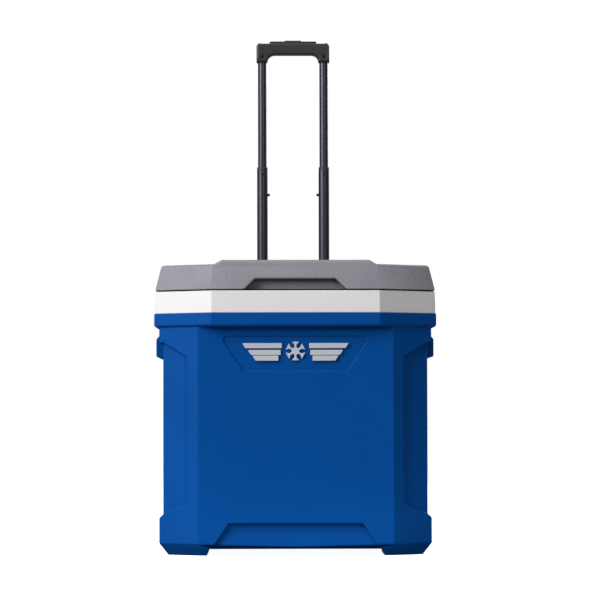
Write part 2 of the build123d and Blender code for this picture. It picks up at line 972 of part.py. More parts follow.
with BuildPart() as badge_crystal:
    with BuildSketch(Plane.XZ.offset(-badge_back)):
        with Locations((0, badge_z)):
            RegularPolygon(radius=7.0, side_count=6)
            with PolarLocations(8.0, 6, start_angle=90):
                SlotOverall(18.0, 3.6)
            with PolarLocations(11.0, 6, start_angle=90):
                SlotCenterPoint((2.4, 2.2), (0.2, 0.0), 2.4)
                SlotCenterPoint((2.4, -2.2), (0.2, 0.0), 2.4)
    extrude(amount=badge_relief)
finish(badge_crystal.part, "badge_crystal")

with BuildPart() as badge_bars:
    with BuildSketch(Plane.XZ.offset(-badge_back)):
        for side in (-1, 1):
            for level, near, far in ((5.0, 24.0, 94.0), (-7.0, 26.0, 84.0), (-17.0, 30.0, 76.0)):
                Polygon(
                    (side * near, badge_z + level),
                    (side * (far - 6.0), badge_z + level),
                    (side * far, badge_z + level + 9.0),
                    (side * near, badge_z + level + 9.0),
                    align=None,
                )
    extrude(amount=badge_relief)
    fillet(badge_bars.edges().filter_by(Axis.Y), 1.2)
finish(badge_bars.part, "badge_bars")

# ---- Lid: shell, foam, inner pan and seal ----


def faces_forward(face):
    """Whether a flat face of the lid is part of its front."""
    return face.normal_at().Y < -0.9


def rounds_the_recess(edge):
    """Whether an edge of the lid's front is the outline of the finger recess."""
    middle = edge.center()
    near_low = lid_z + 0.5
    return abs(middle.X) < finger_low_half and near_low < middle.Z < lid_z + finger_height + 1.0


def looks_up(face):
    """Whether a flat face of the lid is one of its tops or the slopes between them."""
    return face.normal_at().Z > 0.5


def lid_form(inset):
    """The lid's outer form, moved in by a wall where inset is not zero."""
    top = lid_top - inset
    lean = math.tan(math.radians(lid_lean)) * (top - lid_z)
    corner_top = lid_top - lid_corner_drop - inset
    scoop_floor = lid_z + scoop_floor_height - inset
    with BuildPart() as form:
        add(tapered(lid_plan, lid_z, inset, top, inset + lean))
        corner_cut = through(
            [
                (raised_top_half - inset / 2, top + past),
                (raised_top_half - inset / 2, top),
                (raised_foot_half - inset / 2, corner_top),
                (rim_half + past, corner_top),
                (rim_half + past, top + past),
            ],
            lid_front - past,
            lid_rear + past,
        )
        add(corner_cut, mode=Mode.SUBTRACT)
        mirror(corner_cut, about=Plane.YZ, mode=Mode.SUBTRACT)
        add(
            across(
                [
                    (raised_rear - inset, top + 1.0),
                    (raised_rear + 10.0 - inset, corner_top),
                    (lid_rear + past, corner_top),
                    (lid_rear + past, top + past),
                    (raised_rear - inset, top + past),
                ],
                -rim_half,
                rim_half,
            ),
            mode=Mode.SUBTRACT,
        )
        upper_edges = form.faces().filter_by(looks_up).edges()
        side_edges = form.faces().filter_by(lambda face: not looks_up(face)).edges()
        fillet([edge for edge in upper_edges if edge in side_edges], lid_round - inset)
        add(
            across(
                [
                    (lid_rear - scoop_length - inset, top + past),
                    (lid_rear - scoop_length - inset, corner_top),
                    (lid_rear - scoop_length + scoop_slope - inset, scoop_floor),
                    (lid_rear + past, scoop_floor),
                    (lid_rear + past, top + past),
                ],
                -grip_scoop_half - inset,
                grip_scoop_half + inset,
            ),
            mode=Mode.SUBTRACT,
        )
        add(
            across(
                [
                    (pivot_y - inset, lid_z - past),
                    (pivot_y - inset, lid_z),
                    (lid_rear + 1.0 - inset, lid_z + 9.0),
                    (lid_rear + past, lid_z + 9.0),
                    (lid_rear + past, lid_z - past),
                ],
                -rim_half,
                rim_half,
            ),
            mode=Mode.SUBTRACT,
        )
        hinge_notch = block(
            (hinge_x - leaf_half - 2.0 - inset, notch_front - inset, lid_z - past),
            (hinge_x + leaf_half + 2.0 + inset, lid_rear + past, top + past),
        )
        add(hinge_notch, mode=Mode.SUBTRACT)
        mirror(hinge_notch, about=Plane.YZ, mode=Mode.SUBTRACT)
        finger_flare = finger_low_half - finger_top_half
        finger = through(
            [
                (-finger_low_half - finger_flare - inset, lid_z - finger_height),
                (finger_low_half + finger_flare + inset, lid_z - finger_height),
                (finger_top_half + inset, lid_z + finger_height + inset),
                (-finger_top_half - inset, lid_z + finger_height + inset),
            ],
            lid_front - past,
            lid_front + finger_depth + inset,
            corner=finger_corner,
        )
        add(finger, mode=Mode.SUBTRACT)
        if inset == 0:
            front = form.faces().filter_by(faces_forward).sort_by(Axis.Y)[0]
            fillet(front.edges().filter_by(rounds_the_recess), finger_round)
    return form.part


def lid_plug(inset, low_z, high_z):
    """The part of the lid that drops into the mouth of the liner."""
    gap = plug_gap + inset
    with BuildPart() as form:
        with BuildSketch(Plane.XY.offset(low_z)) as outline:
            with Locations((0, (cavity_front + cavity_rear) / 2)):
                Rectangle(2 * (cavity_half - gap), cavity_rear - cavity_front - 2 * gap)
            fillet(outline.vertices(), cavity_corner - gap)
        extrude(amount=high_z - low_z)
    return form.part


pan_top = lid_z + liner_wall
plug_low = lid_z - plug_depth
lid_inside = lid_form(lid_wall)
plug_core = lid_plug(liner_wall, plug_low + liner_wall, pan_top)

with BuildPart() as lid_shell:
    add(lid_form(0.0))
    add(lid_inside, mode=Mode.SUBTRACT)
    add(hinge_lid_screws.part, mode=Mode.SUBTRACT)
finish(lid_shell.part, "lid_shell")

with BuildPart() as lid_pan:
    add(lid_inside)
    add(
        block((-rim_width, rim_front - past, pan_top), (rim_width, rim_rear + past, lid_top + past)),
        mode=Mode.SUBTRACT,
    )
    add(lid_plug(0.0, plug_low, lid_z))
    add(plug_core, mode=Mode.SUBTRACT)
finish(lid_pan.part, "lid_pan")

with BuildPart() as lid_foam:
    add(lid_inside)
    add(
        block((-rim_width, rim_front - past, lid_z - past), (rim_width, rim_rear + past, pan_top)),
        mode=Mode.SUBTRACT,
    )
    add(plug_core)
    add(hinge_lid_screws.part, mode=Mode.SUBTRACT)
finish(lid_foam.part, "lid_foam")

with BuildPart() as lid_seal:
    with BuildSketch(Plane.XY.offset(body_height + 0.2)):
        with BuildSketch(mode=Mode.PRIVATE) as seal_inside:
            with Locations((0, (cavity_front + cavity_rear) / 2)):
                Rectangle(2 * cavity_half + 4.0, cavity_rear - cavity_front + 4.0)
            fillet(seal_inside.vertices(), cavity_corner)
        add(seal_inside.sketch)
        offset(amount=7.0)
        add(seal_inside.sketch, mode=Mode.SUBTRACT)
    extrude(amount=seal_gap - 0.2)
finish(lid_seal.part, "lid_seal")

# ---- Telescoping handle, shown pulled right out ----
stop_z = middle_top - 53.0
overlap = 75.0
middle_low = sleeve_top - overlap
middle_bore = middle_radius - tube_wall
collar_height = 6.0
tube_end = middle_top - collar_height
upper_low = middle_top - 72.0
upper_bore = upper_radius - tube_wall

stop_pin = rod((tube_x - middle_bore, tube_y, stop_z), (-1, 0, 0), 2.5, tube_wall + 4.0)
finish(both_sides(stop_pin), "stop_pins")

rivet = rod((tube_x, tube_y - middle_bore, middle_top - 14.0), (0, -1, 0), 2.4, tube_wall + 0.8)
finish(both_sides(rivet), "collar_rivets")

with BuildPart() as middle_tube:
    add(rod((tube_x, tube_y, middle_low), (0, 0, 1), middle_radius, tube_end - middle_low, middle_bore))
    add(stop_pin, mode=Mode.SUBTRACT)
    add(rivet, mode=Mode.SUBTRACT)
finish_pair(middle_tube.part, "middle_tube")

with BuildPart() as middle_collar:
    collar_bore = upper_radius + slide_gap
    add(rod((tube_x, tube_y, tube_end), (0, 0, 1), middle_radius, collar_height, collar_bore))
    add(rod((tube_x, tube_y, tube_end - 16.0), (0, 0, 1), middle_bore, 16.0, collar_bore))
    fillet(middle_collar.edges().filter_by(GeomType.CIRCLE).sort_by(Axis.Z)[-1], 0.6)
finish(both_sides(middle_collar.part), "middle_collars")

with BuildPart() as middle_glide:
    glide_radius = sleeve_bore - slide_gap
    add(rod((tube_x, tube_y, middle_low - 9.0), (0, 0, 1), glide_radius, 9.0, middle_bore - 2.0))
finish(both_sides(middle_glide.part), "middle_glides")

lock_radius = 2.2
lock_tip = middle_bore - 0.35
lock_z = upper_low + 16.0
lock_hole = rod((tube_x, tube_y, lock_z), (-1, 0, 0), lock_radius + running_gap, upper_radius + 5.0)

grip_screw = screw((tube_x, tube_y - grip_thickness / 2 + 2.0, grip_bottom + 10.5), (0, -1, 0), 3.2, 1.5, 6.0)

with BuildPart() as upper_tube:
    tube_length = grip_top - 26.0 - upper_low
    add(rod((tube_x, tube_y, upper_low), (0, 0, 1), upper_radius, tube_length, upper_bore))
    add(lock_hole, mode=Mode.SUBTRACT)
    add(grip_screw, mode=Mode.SUBTRACT)
finish_pair(upper_tube.part, "upper_tube")

with BuildPart() as upper_glide:
    add(rod((tube_x, tube_y, upper_low - 8.0), (0, 0, 1), middle_bore - slide_gap, 8.0))
    add(rod((tube_x, tube_y, upper_low), (0, 0, 1), upper_bore, 24.0))
    add(lock_hole, mode=Mode.SUBTRACT)
finish(both_sides(upper_glide.part), "upper_glides")

with BuildPart() as lock_pin:
    add(rod((tube_x - 3.4, tube_y, lock_z), (-1, 0, 0), lock_radius, lock_tip - 3.4))
finish_pair(lock_pin.part, "lock_pin")

# ---- Grip: two halves, a soft pad, and the release button ----
grip_half = grip_width / 2
bar_low = grip_top - grip_bar
grip_front = tube_y - grip_thickness / 2
hollow_low = bar_low + 3.0
hollow_top = grip_top - horn_height - 3.0
hollow_half = tube_x + 6.0

with BuildPart() as grip_body:
    with BuildSketch(Plane.XZ.offset(-grip_front)) as outline:
        with Locations((0, (grip_bottom + grip_top) / 2)):
            Rectangle(grip_width, grip_height)
        fillet(outline.vertices().group_by(Axis.Y)[-1], 8.0)
        with BuildSketch(mode=Mode.PRIVATE) as loop:
            with Locations((0, (grip_bottom - past + bar_low) / 2)):
                Rectangle(2 * loop_half, bar_low - grip_bottom + past)
            fillet(loop.vertices().group_by(Axis.Y)[-1], loop_corner)
        add(loop.sketch, mode=Mode.SUBTRACT)
    extrude(amount=-grip_thickness)
    fillet(grip_body.edges().group_by(Axis.Y)[0], 4.0)
    fillet(grip_body.edges().group_by(Axis.Y)[-1], 4.0)
    add(
        block(
            (-horn_inner_half, grip_front - past, grip_top - horn_height),
            (horn_inner_half, grip_front + grip_thickness + past, grip_top + past),
        ),
        mode=Mode.SUBTRACT,
    )
    add(
        block(
            (-hollow_half, tube_y - 10.0, hollow_low),
            (hollow_half, tube_y + 10.0, hollow_top),
        ),
        mode=Mode.SUBTRACT,
    )
    add(
        block(
            (-button_half - 0.4, tube_y - 8.4, grip_top - 8.0),
            (button_half + 0.4, tube_y + 8.4, grip_top + past),
        ),
        mode=Mode.SUBTRACT,
    )
    screw_well = rod(
        (tube_x, grip_front + 2.0, grip_bottom + 10.5), (0, -1, 0), 3.8, past
    )
    for cutter in (
        rod((tube_x, tube_y, grip_bottom - past), (0, 0, 1), upper_radius, grip_top - 26.0 - grip_bottom + past),
        rod((tube_x, tube_y, grip_bottom), (0, 0, 1), upper_bore, grip_height - 6.0),
        screw_well,
        grip_screw,
    ):
        add(cutter, mode=Mode.SUBTRACT)
        mirror(cutter, about=Plane.YZ, mode=Mode.SUBTRACT)

split_face = Plane(origin=(0, tube_y, 0), z_dir=(0, 1, 0))
for name, kept in (("grip_front", Keep.BOTTOM), ("grip_rear", Keep.TOP)):
    with BuildPart() as grip_piece:
        add(grip_body.part)
        split(bisect_by=split_face, keep=kept)
    finish(grip_piece.part, name)

finish(both_sides(grip_screw), "grip_screws")

with BuildPart() as grip_pad:
    with BuildSketch(Plane.XY.offset(grip_top - horn_height)):
        with Locations((0, tube_y)):
            RectangleRounded(90.0, 20.0, 6.0)
            Rectangle(2 * button_half + 0.8, 16.8, mode=Mode.SUBTRACT)
    extrude(amount=pad_height + horn_height)
finish(grip_pad.part, "grip_pad")

yoke_top = hollow_low + 13.0
yoke_low = yoke_top - 4.0
with BuildPart() as release_button:
    with BuildSketch(Plane.XY.offset(yoke_top)):
        with Locations((0, tube_y)):
            RectangleRounded(2 * button_half, 16.0, 4.0)
    extrude(amount=grip_top + pad_height + button_stand - yoke_top)
    fillet(release_button.faces().sort_by(Axis.Z)[-1].edges(), 1.6)
finish(release_button.part, "release_button")

with BuildPart() as release_yoke:
    add(
        block(
            (-tube_x - 4.0, tube_y - 4.5, yoke_low),
            (tube_x + 4.0, tube_y + 4.5, yoke_top),
        )
    )
finish(release_yoke.part, "release_yoke")

with BuildPart() as release_rod:
    rod_low = upper_low + 24.0 + button_travel + 1.0
    add(rod((tube_x, tube_y, rod_low), (0, 0, 1), 2.0, yoke_low - rod_low))
finish(both_sides(release_rod.part), "release_rods")

with BuildPart() as button_spring:
    add(rod((0, tube_y, hollow_low), (0, 0, 1), 5.0, yoke_low - hollow_low, 3.8))
finish(button_spring.part, "button_spring")
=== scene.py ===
import math

import bmesh
import bpy
from mathutils import Matrix, Vector
from mathutils.bvhtree import BVHTree


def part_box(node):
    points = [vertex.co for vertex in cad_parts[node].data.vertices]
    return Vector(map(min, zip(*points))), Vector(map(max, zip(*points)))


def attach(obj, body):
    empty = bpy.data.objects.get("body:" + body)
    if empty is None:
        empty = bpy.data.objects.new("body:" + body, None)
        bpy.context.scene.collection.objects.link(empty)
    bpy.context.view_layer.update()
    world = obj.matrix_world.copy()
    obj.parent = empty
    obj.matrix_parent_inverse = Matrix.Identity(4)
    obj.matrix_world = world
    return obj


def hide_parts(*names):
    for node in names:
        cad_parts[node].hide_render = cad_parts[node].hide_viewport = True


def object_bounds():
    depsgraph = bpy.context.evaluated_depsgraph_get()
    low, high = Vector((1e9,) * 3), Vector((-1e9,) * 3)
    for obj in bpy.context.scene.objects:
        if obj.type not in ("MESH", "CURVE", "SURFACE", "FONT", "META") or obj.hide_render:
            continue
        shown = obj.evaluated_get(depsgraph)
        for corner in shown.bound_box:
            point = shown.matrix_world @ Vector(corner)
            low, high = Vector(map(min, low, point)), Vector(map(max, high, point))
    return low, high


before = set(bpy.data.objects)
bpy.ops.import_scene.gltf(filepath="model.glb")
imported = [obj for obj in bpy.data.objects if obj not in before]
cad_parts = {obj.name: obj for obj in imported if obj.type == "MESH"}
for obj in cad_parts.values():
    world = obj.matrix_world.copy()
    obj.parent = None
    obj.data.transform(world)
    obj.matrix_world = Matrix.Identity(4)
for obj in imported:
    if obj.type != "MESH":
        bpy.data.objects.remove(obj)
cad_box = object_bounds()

# ---- Photographer's table: a pale floor, soft boxes and the camera ----
# The floor is translucent white acrylic, lit a little from below, with white air
# all round it. A big soft box stands to the left, with weaker ones over the
# cooler, to its right and behind it, so the left corner is lightest.


def linear(hex_colour):
    """An sRGB hex colour as the linear RGBA that a shader takes."""
    channels = [int(hex_colour[i : i + 2], 16) / 255 for i in (1, 3, 5)]
    channels = [c / 12.92 if c <= 0.04045 else ((c + 0.055) / 1.055) ** 2.4 for c in channels]
    return (*channels, 1.0)


def add_node(tree, kind, inputs=(), **settings):
    """Adds one node. inputs is a dict of socket name or number to a value or a socket."""
    made = tree.nodes.new(kind)
    for name, value in settings.items():
        setattr(made, name, value)
    for name, value in dict(inputs).items():
        if isinstance(value, bpy.types.NodeSocket):
            tree.links.new(value, made.inputs[name])
        else:
            made.inputs[name].default_value = value
    return made


def new_material(name, **shader):
    """A material with one Principled shader; returns it with its tree and shader node."""
    material = bpy.data.materials.new(name)
    material.use_nodes = True
    tree = material.node_tree
    surface = tree.nodes["Principled BSDF"]
    for socket, value in shader.items():
        surface.inputs[socket.replace("_", " ")].default_value = value
    return material, tree, surface


def mesh_object(name, mesh):
    """A mesh as an object at the origin."""
    made = bpy.data.objects.new(name, mesh)
    bpy.context.scene.collection.objects.link(made)
    return made


acrylic, _, surface = new_material(
    "satin_white_acrylic", Base_Color=linear("#F7F7F7"), Roughness=0.9
)
# Even, glowing white that hides nearly all of the cooler's shadow.
surface.inputs["Specular IOR Level"].default_value = 0.1
surface.inputs["Emission Color"].default_value = linear("#FFFFFF")
surface.inputs["Emission Strength"].default_value = 0.95

floor_radius, floor_sides = 30.0, 64
floor_mesh = bpy.data.meshes.new("acrylic_floor")
floor_turns = [math.tau * i / floor_sides for i in range(floor_sides)]
floor_rim = [(floor_radius * math.cos(t), floor_radius * math.sin(t), 0.0) for t in floor_turns]
floor_mesh.from_pydata(floor_rim, [], [tuple(range(floor_sides))])
floor_mesh.materials.append(acrylic)
floor = mesh_object("acrylic_floor", floor_mesh)
# Black cards out of view keep the floor's glow and its reflection off the cooler.
floor.visible_diffuse = False
floor.visible_glossy = False


def soft_box(name, place, aim, width, height, power, seen=True):
    """A rectangular area light that faces a point. seen is whether the camera sees it."""
    lamp = bpy.data.lights.new(name, "AREA")
    lamp.shape = "RECTANGLE"
    lamp.size, lamp.size_y, lamp.energy = width, height, power
    holder = bpy.data.objects.new(name, lamp)
    holder.location = place
    holder.rotation_euler = (Vector(aim) - Vector(place)).to_track_quat("-Z", "Y").to_euler()
    holder.visible_camera = seen
    bpy.context.scene.collection.objects.link(holder)


# Name, place, point faced, width and height in metres, and power in watts.
soft_box("key_box", (-3.0, -2.35, 2.3), (0, 0, 0.4), 2.4, 2.6, 185)
soft_box("top_box", (-0.5, -1.2, 3.4), (0, 0, 0.2), 2.4, 2.0, 48)
soft_box("fill_box", (2.2, -4.4, 2.0), (0, 0, 0.4), 1.6, 1.8, 26)
soft_box("rear_box", (2.4, 3.6, 2.4), (0, 0, 0.4), 2.2, 2.2, 120)

# A weak glow from the acrylic just in front of the feet.
soft_box("floor_glow", (0, -0.30, 0.003), (0, -0.30, 1), 0.9, 0.1, 0.3, seen=False)

world = bpy.data.worlds.new("studio_air")
world.use_nodes = True
# The air is seen as white, and lights the cooler only weakly.
seen = add_node(world.node_tree, "ShaderNodeLightPath").outputs["Is Camera Ray"]
brightness = add_node(
    world.node_tree, "ShaderNodeMapRange", {"Value": seen, "To Min": 0.18, "To Max": 1.0}
)
air = world.node_tree.nodes["Background"]
air.inputs["Color"].default_value = linear("#FFFFFF")
world.node_tree.links.new(brightness.outputs["Result"], air.inputs["Strength"])
bpy.context.scene.world = world
bpy.context.scene.view_settings.view_transform = "Standard"

camera_data = bpy.data.cameras.new("camera")
camera_data.sensor_width = 36.0
camera_data.lens = 161.2
camera = bpy.data.objects.new("camera", camera_data)
camera_x, camera_back, camera_z = -0.0447, 4.70, 0.255
yaw, pitch, roll = math.radians(0.64), math.radians(2.35), math.radians(-0.11)
heading = Vector((math.sin(yaw) * math.cos(pitch), math.cos(yaw) * math.cos(pitch), math.sin(pitch)))
camera.location = (camera_x, cad_box[0][1] - camera_back, camera_z)
camera.rotation_mode = "QUATERNION"
camera.rotation_quaternion = (
    heading.to_track_quat("-Z", "Y") @ Matrix.Rotation(roll, 3, "Z").to_quaternion()
)
bpy.context.scene.collection.objects.link(camera)
bpy.context.scene.camera = camera

# ---- Outer shell: the blue double wall's outside skin ----
# One blow-moulded polyethylene piece with the lip, ledges, feet and wheel wells
# in it. Its mould has a fine spark-eroded grain and rounded edges, and the
# liner's flange is welded down on the lip.

shell_edge = 0.0013


def softened(node, width, segments=3, angle=28.0):
    """A copy of a CAD node with its sharp edges rounded by width metres."""
    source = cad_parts[node]
    work = bmesh.new()
    work.from_mesh(source.data)
    bmesh.ops.remove_doubles(work, verts=work.verts, dist=2e-6)
    bmesh.ops.dissolve_limit(
        work, angle_limit=math.radians(0.6), verts=work.verts, edges=work.edges
    )
    mesh = bpy.data.meshes.new(node + "_soft")
    work.to_mesh(mesh)
    work.free()
    mesh.shade_smooth()
    piece = mesh_object(node + "_soft", mesh)
    bevel = piece.modifiers.new("rounded_edges", "BEVEL")
    bevel.width, bevel.segments = width, segments
    bevel.limit_method, bevel.angle_limit = "ANGLE", math.radians(angle)
    bevel.use_clamp_overlap = False
    bevel.miter_outer = "MITER_ARC"
    rounded = bpy.data.meshes.new_from_object(
        piece.evaluated_get(bpy.context.evaluated_depsgraph_get())
    )
    wall = BVHTree.FromPolygons(
        [vert.co for vert in mesh.vertices], [face.vertices for face in mesh.polygons]
    )
    # A corner too tight for the rounding is put back on the wall.
    furthest = 0.7 * width
    for vert in rounded.vertices:
        nearest, _, _, away = wall.find_nearest(vert.co)
        if away > furthest:
            vert.co = nearest
    piece.modifiers.clear()
    piece.data = rounded
    even = piece.modifiers.new("even_shading", "WEIGHTED_NORMAL")
    even.weight = 60
    return piece


def stands_for(piece, node, body, slot, *materials):
    """Gives a rebuilt piece its finish, its body and the CAD node that it replaces."""
    piece.data.materials.clear()
    for material in materials:
        piece.data.materials.append(material)
    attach(piece, body)
    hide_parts(node)


def place_of(tree):
    """The position on the piece, in metres, for patterns of real size."""
    return add_node(tree, "ShaderNodeTexCoord").outputs["Object"]


def moulded_grain(tree, surface, grain_mm, depth, mottling=0.0, colour=None):
    """Spark-eroded mould grain as bump, with an optional faint cloudiness of colour."""
    place = place_of(tree)
    grain = add_node(
        tree,
        "ShaderNodeTexNoise",
        {"Vector": place, "Scale": 1000 / grain_mm, "Detail": 2.0, "Roughness": 0.6},
    )
    bump = add_node(
        tree,
        "ShaderNodeBump",
        {"Height": grain.outputs["Fac"], "Strength": depth, "Distance": 0.0004},
    )
    tree.links.new(bump.outputs["Normal"], surface.inputs["Normal"])
    if colour:
        cloud = add_node(
            tree, "ShaderNodeTexNoise", {"Vector": place, "Scale": 9.0, "Detail": 3.0}
        )
        ramp = add_node(tree, "ShaderNodeValToRGB", {"Fac": cloud.outputs["Fac"]})
        light = [min(1.0, c * (1 + mottling)) for c in colour[:3]]
        dark = [c * (1 - mottling) for c in colour[:3]]
        low_end, high_end = ramp.color_ramp.elements
        low_end.position, low_end.color = 0.3, (*dark, 1)
        high_end.position, high_end.color = 0.7, (*light, 1)
        tree.links.new(ramp.outputs["Color"], surface.inputs["Base Color"])


blue_hdpe, tree, surface = new_material("blue_polyethylene_grained", Roughness=0.5)
# A close, deep blue with a dull sheen: only the rounded edges pick out paler lines.
surface.inputs["Specular IOR Level"].default_value = 0.06
moulded_grain(tree, surface, 0.9, 0.2, 0.03, linear("#004892"))
stands_for(softened("outer_shell", shell_edge), "outer_shell", "root", "shell_blue", blue_hdpe)

# ---- Foam: poured between shell and liner, and in the lid ----
# Pale cream closed-cell polyurethane, sealed inside and never seen in use.


def paint(material, *nodes):
    """Gives CAD nodes a material."""
    for name in nodes:
        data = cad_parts[name].data
        data.materials.clear()
        data.materials.append(material)


foam, tree, surface = new_material("closed_cell_foam", Roughness=0.85)
# Chalky, with the small bubbles of a poured foam.
moulded_grain(tree, surface, 1.5, 0.5, 0.06, linear("#E6D9B4"))
paint(foam, "body_foam", "lid_foam")

# ---- Liner: white food-safe polyethylene ----
# Thermoformed in one piece, smoother than the shell. Its rim folds out and down
# as the white band under the lid, and is welded to the lip.

liner_edge = 0.0012
white_liner, tree, surface = new_material("white_liner_plastic", Roughness=0.42)
# Milky white with a soft shine, and the faintest orange peel.
surface.inputs["Specular IOR Level"].default_value = 0.35
moulded_grain(tree, surface, 1.6, 0.06, 0.01, linear("#DDDADB"))
stands_for(softened("inner_liner", liner_edge), "inner_liner", "root", "liner_white", white_liner)

# ---- Badge: a snow crystal between pairs of bars ----
# Injection-moulded ABS, spray-painted silver and glued into the sunk panel.

badge_edge = 0.0006
badge_silver, tree, surface = new_material(
    "silver_painted_abs", Base_Color=linear("#CDD2DC"), Metallic=0.3, Roughness=0.38
)
# A cool silver paint, even and slightly sparkling.
moulded_grain(tree, surface, 0.6, 0.05)
for part in ("badge_crystal", "badge_bars"):
    stands_for(softened(part, badge_edge), part, "root", "badge_silver", badge_silver)

# ---- Drain: spout, washer and nut through the rear wall, and its plug ----
# The white spout is moulded polyethylene. A soft rubber washer and a hexagonal
# nut clamp it from inside. The black plug has a bar to turn it by.

nylon_black, tree, surface = new_material(
    "black_moulded_nylon", Base_Color=linear("#28272B"), Roughness=0.48
)
# Charcoal rather than jet black, with a fine even grain that dulls highlights.
moulded_grain(tree, surface, 0.8, 0.3)
rubber_black, tree, surface = new_material(
    "soft_black_rubber", Base_Color=linear("#1C1C1F"), Roughness=0.7
)
# Flat and dusty black.
moulded_grain(tree, surface, 0.7, 0.3)
paint(rubber_black, "drain_washer", "drain_plug_seal")
small_edge = 0.0005
for part in ("drain_spout", "drain_nut"):
    stands_for(softened(part, small_edge), part, "root", "liner_white", white_liner)


def centre_of(node):
    """The middle of a CAD node's box."""
    low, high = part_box(node)
    return (Vector(low) + Vector(high)) / 2


def new_tree(name, **inputs):
    """A geometry node group with named inputs; returns it, its inputs and its output."""
    tree = bpy.data.node_groups.new(name, "GeometryNodeTree")
    tree.interface.new_socket("Geometry", in_out="OUTPUT", socket_type="NodeSocketGeometry")
    tree.interface.new_socket("Geometry", in_out="INPUT", socket_type="NodeSocketGeometry")
    for label, kind in inputs.items():
        tree.interface.new_socket(
            label.replace("_", " "), in_out="INPUT", socket_type="NodeSocket" + kind
        )
    start = tree.nodes.new("NodeGroupInput")
    end = tree.nodes.new("NodeGroupOutput")
    return tree, start.outputs, end.inputs[0]


def finished(tree, geometry, finish, end):
    """Ends a tree with real copies and their material."""
    solid = add_node(tree, "GeometryNodeRealizeInstances", {"Geometry": geometry})
    dressed = add_node(
        tree, "GeometryNodeSetMaterial", {"Geometry": solid.outputs[0], "Material": finish}
    )
    tree.links.new(dressed.outputs[0], end)


def grown(name, tree, base, **values):
    """Runs a geometry node group on a mesh and keeps its result as a plain mesh object."""
    holder = mesh_object(name + "_base", base)
    modifier = holder.modifiers.new("nodes", "NODES")
    modifier.node_group = tree
    for item in tree.interface.items_tree:
        label = item.name.replace(" ", "_")
        if item.item_type == "SOCKET" and item.in_out == "INPUT" and label in values:
            modifier[item.identifier] = values[label]
    depsgraph = bpy.context.evaluated_depsgraph_get()
    mesh = bpy.data.meshes.new_from_object(holder.evaluated_get(depsgraph))
    bpy.data.objects.remove(holder)
    return mesh_object(name, mesh)


def joined_mesh(name, *pieces):
    """One plain mesh from several objects, which are removed; modifiers are applied."""
    work = bmesh.new()
    depsgraph = bpy.context.evaluated_depsgraph_get()
    for piece in pieces:
        mesh = bpy.data.meshes.new_from_object(piece.evaluated_get(depsgraph))
        work.from_mesh(mesh)
        bpy.data.objects.remove(piece)
    mesh = bpy.data.meshes.new(name)
    work.to_mesh(mesh)
    work.free()
    return mesh


# Adds a ring of equal pieces to a mesh: the plug's grip ribs here, the tyres' lugs below.
ring_tree, sizes, ring_end = new_tree(
    "ring_of_pieces",
    Piece="Object",
    Count="Int",
    Radius="Float",
    Tilt="Rotation",
    Centre="Vector",
    Finish="Material",
)
ring = add_node(
    ring_tree, "GeometryNodeMeshCircle", {"Vertices": sizes["Count"], "Radius": sizes["Radius"]}
)
index = add_node(ring_tree, "GeometryNodeInputIndex")
share = add_node(ring_tree, "ShaderNodeMath", {0: math.tau, 1: sizes["Count"]}, operation="DIVIDE")
angle = add_node(
    ring_tree, "ShaderNodeMath", {0: index.outputs[0], 1: share.outputs[0]}, operation="MULTIPLY"
)
turn = add_node(ring_tree, "ShaderNodeCombineXYZ", {"Z": angle.outputs[0]})
pattern = add_node(ring_tree, "GeometryNodeObjectInfo", {"Object": sizes["Piece"]})
placed = add_node(
    ring_tree,
    "GeometryNodeInstanceOnPoints",
    {
        "Points": ring.outputs["Mesh"],
        "Instance": pattern.outputs["Geometry"],
        "Rotation": turn.outputs[0],
    },
)
tilted = add_node(
    ring_tree,
    "GeometryNodeTransform",
    {"Geometry": placed.outputs[0], "Translation": sizes["Centre"], "Rotation": sizes["Tilt"]},
)
both = add_node(ring_tree, "GeometryNodeJoinGeometry")
ring_tree.links.new(tilted.outputs[0], both.inputs[0])
ring_tree.links.new(sizes["Geometry"], both.inputs[0])
finished(ring_tree, both.outputs[0], sizes["Finish"], ring_end)


def tapered_bar(name, length, width, height, sink, draft=0.25):
    """A small moulded rib: it points outwards along X, its top narrower than its foot."""
    foot, crown = width / 2, width / 2 * (1 - draft)
    end_foot, end_crown = length / 2, length / 2 - width / 2 * draft
    corners = [
        (x, side * across, end * along)
        for x, across, along in ((-sink, foot, end_foot), (height, crown, end_crown))
        for end in (-1, 1)
        for side in (-1, 1)
    ]
    mesh = bpy.data.meshes.new(name)
    mesh.from_pydata(
        corners,
        [],
        [(0, 2, 3, 1), (4, 5, 7, 6), (0, 1, 5, 4), (1, 3, 7, 5), (3, 2, 6, 7), (2, 0, 4, 6)],
    )
    bar = mesh_object(name, mesh)
    bevel = bar.modifiers.new("rounded", "BEVEL")
    bevel.width, bevel.segments = min(width, height) * 0.3, 2
    bevel.limit_method = "NONE"
    mesh.shade_smooth()
    return bar


plug_low, plug_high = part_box("drain_plug")
plug_centre = centre_of("drain_plug")
plug_disc_radius = (plug_high[0] - plug_low[0]) / 2
plug_rib_count = 36
plug_rib_length, plug_rib_width = 0.0055, 0.0016
plug_rib_height, plug_rib_sink = 0.0002, 0.0012
plug_rib_inset = 0.0004  # the ribs' feet stand this far inside the disc's edge
plug_rib_back = 0.0117  # from the end of the turning bar to the ribs' middle
plug_edge = 0.0007
plug_rib = tapered_bar(
    "plug_rib", plug_rib_length, plug_rib_width, plug_rib_height, plug_rib_sink
)
plug_body = joined_mesh("drain_plug_body", softened("drain_plug", plug_edge))
plug = grown(
    "drain_plug_knob",
    ring_tree,
    plug_body,
    Piece=plug_rib,
    Count=plug_rib_count,
    Radius=plug_disc_radius - plug_rib_inset,
    Tilt=(math.radians(90), 0, 0),
    Centre=(plug_centre.x, plug_high[1] - plug_rib_back, plug_centre.z),
    Finish=nylon_black,
)
